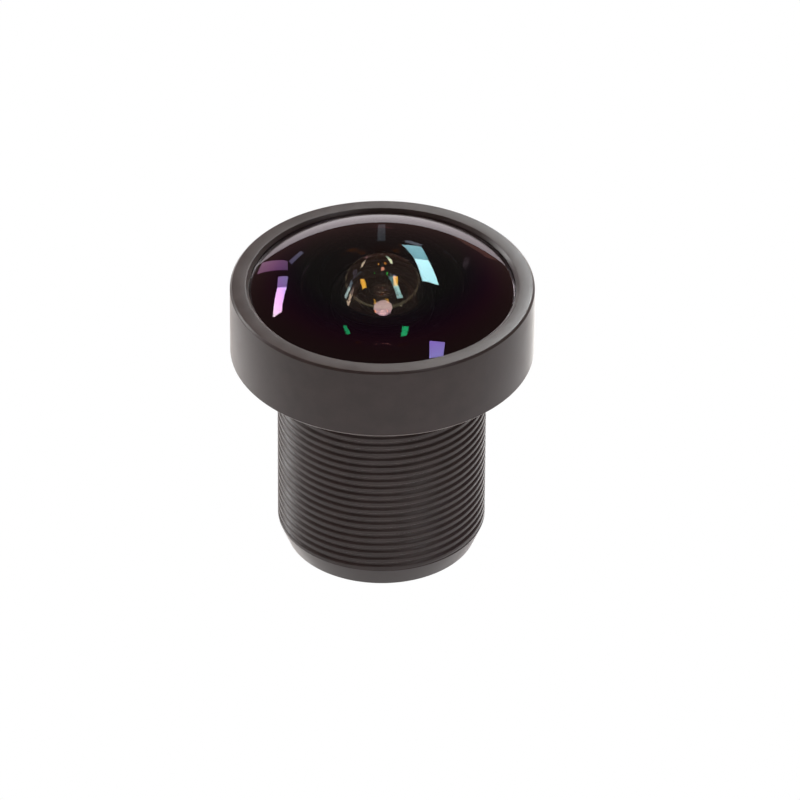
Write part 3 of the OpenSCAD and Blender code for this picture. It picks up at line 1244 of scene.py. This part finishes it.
@dataclass
class Studio:
    """White table, dim warm room, what the glass mirrors, the lamps for the metal, and the camera.

    Args:
        table: Width of the table, in metres like the other lengths.
        table_drop: How far the table lies under the lens, so that their faces stay apart.
        table_grey: Share of light that the table gives back.
        room: Radiance of the room.
        room_tint: Colour of its light.
        pane_from: The point that the directions of the panes start from.
        aim: The point in the middle of the picture.
        distance: Distance of the camera from it.
        lens: Focal length in millimetres.
        sensor: Width of the sensor in millimetres.
        reach: Nearest and farthest distance that the camera shows.
        roll: Turn of the camera about its line of sight, in degrees.
    """

    table: float = 3.0
    table_drop: float = 0.01 * MM
    table_grey: float = 0.8
    room: float = 0.11
    room_tint: Colour = (1.0, 0.6, 0.54)
    pane_from: tuple[float, float, float] = (0.0, 0.0, 17.0 * MM)
    aim: tuple[float, float, float] = (1.044 * MM, 0.0, 9.06 * MM)
    distance: float = 0.5
    lens: float = 391.2
    sensor: float = 36.0
    reach: tuple[float, float] = (0.01, 20.0)
    roll: float = 0.35

    def build(self, metal: list[bpy.types.Object]) -> None:
        """Build the whole studio.

        Args:
            metal: The pieces that the lamps light, besides the table.
        """
        self.floor()
        self.world()
        self.camera()
        for pane in PANES:
            pane.build(Vector(self.pane_from))
        lit = bpy.data.collections.new("metal_and_table")
        for piece in [*metal, bpy.data.objects["table"]]:
            lit.objects.link(piece)
        for lamp in LAMPS:
            lamp.build(lit)

    def floor(self) -> None:
        """Build the table, which shows white."""
        mesh = bmesh.new()
        bmesh.ops.create_grid(mesh, x_segments=8, y_segments=8, size=self.table / 2)
        table = add_mesh(mesh, "table")
        table.location.z = -self.table_drop
        material = bpy.data.materials.new("white_table")
        material.use_nodes = True
        wiring = Wiring(material.node_tree)
        material.node_tree.nodes.clear()
        path = wiring.add("ShaderNodeLightPath").outputs
        seen = wiring.maths("ADD", path["Is Camera Ray"], path["Is Glossy Ray"])
        seen = wiring.maths("MINIMUM", wiring.maths("ADD", seen, path["Is Transmission Ray"]), 1.0)
        grey = self.table_grey
        matt = wiring.add("ShaderNodeBsdfDiffuse", {"Color": (grey, grey, grey, 1.0)}).outputs[0]
        white = wiring.add("ShaderNodeEmission", {"Color": (1.0, 1.0, 1.0, 1.0), "Strength": 1.0}).outputs[0]
        mixed = wiring.add("ShaderNodeMixShader", {0: seen, 1: matt, 2: white}).outputs[0]
        wiring.add("ShaderNodeOutputMaterial", {"Surface": mixed})
        table.data.materials.append(material)

    def world(self) -> None:
        """Make the room dim and a little warm."""
        world = bpy.data.worlds.new("room")
        bpy.context.scene.world = world
        world.use_nodes = True
        shade = world.node_tree.nodes["Background"]
        shade.inputs["Color"].default_value = (*self.room_tint, 1.0)
        shade.inputs["Strength"].default_value = self.room

    def camera(self) -> None:
        """Add the camera at the photo's height angle."""
        data = bpy.data.cameras.new("camera")
        data.lens = self.lens
        data.sensor_width = self.sensor
        data.clip_start, data.clip_end = self.reach
        camera = bpy.data.objects.new("camera", data)
        bpy.context.scene.collection.objects.link(camera)
        back = Vector((0.0, -math.cos(EYE_HEIGHT), math.sin(EYE_HEIGHT)))
        camera.location = Vector(self.aim) + back * self.distance
        level = Euler((math.pi / 2 - EYE_HEIGHT, 0.0, 0.0)).to_matrix()
        camera.rotation_euler = (level @ Matrix.Rotation(math.radians(self.roll), 3, "Z")).to_euler()
        bpy.context.scene.camera = camera


# The whole lens


def evenly_coated(name: str, index: float, tint: Colour) -> bpy.types.Material:
    """Make a glass whose coating leaves the same share of the reflection all over."""
    return CoatedGlass(name, index, ((0.0, tint),)).material()


def lens_coats() -> Coats:
    """Make the coated glass of the six lenses.

    Returns:
        The glass with its front and with its rear coating, by node.
    """
    dome = CoatedGlass("front_glass", 1.77, (
        (0.0, (0.7, 0.6, 0.55)), (1.2, (0.6, 0.78, 0.85)), (4.4, (0.55, 0.85, 0.9)),
        (5.0, (0.5, 0.6, 0.9)), (5.9, (0.75, 0.42, 1.0)),
        (6.4, (1.0, 0.5, 1.0)), (7.0, (1.0, 0.7, 0.9)), (7.6, (1.0, 0.86, 0.92)))).material()
    bare = evenly_coated("inner_glass", 1.6, (0.3, 0.2, 0.22))
    return {
        "front_lens": (dome, evenly_coated("hollow_glass", 1.77, (0.8, 0.7, 0.45))),
        "second_lens": (evenly_coated("second_front", 1.6, (0.6, 0.85, 0.8)),
                        evenly_coated("second_rear", 1.6, (1.0, 0.75, 0.5))),
        "third_lens": (evenly_coated("third_front", 1.75, (1.0, 0.75, 0.5)),
                       evenly_coated("third_rear", 1.75, (0.5, 0.36, 0.38))),
        "fourth_lens": (bare, bare), "fifth_lens": (bare, bare), "sixth_lens": (bare, bare)}


def main() -> None:
    """Build the lens and its studio."""
    logging.basicConfig(level=logging.INFO, format="%(name)s: %(message)s")
    anodised = Anodised("black_anodised", (0.056, 0.042, 0.04), 0.33).material()
    inner = Dull("inner_black", (0.004, 0.003, 0.003), 0.6, shine=0.12).material()
    ink = Ink("lens_ink", (0.8, 0.6, 0.8), 0.03).material()
    film = Dull("black_film", (0.004, 0.004, 0.004), 0.6).material()
    rubber = Dull("seal_rubber", (0.01, 0.01, 0.01), 0.6).material()
    coats = lens_coats()
    red = CoatedGlass("filter_glass", 1.52, ((0.0, (0.9, 0.5, 0.6)),), colour=(0.75, 0.4, 0.45)).material()

    metal = [Barrel().build(anodised, inner), FrontCap().build(anodised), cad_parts["rear_retainer"]]
    FrontGroup().build(coats, rubber, ink, inner)
    rear = RearGroup()
    rear.lenses(coats, ink)
    rear.rest(inner, film, anodised, red)
    Studio().build(metal)
    bpy.context.scene.view_settings.view_transform = "Standard"


if __name__ == "__main__":
    main()
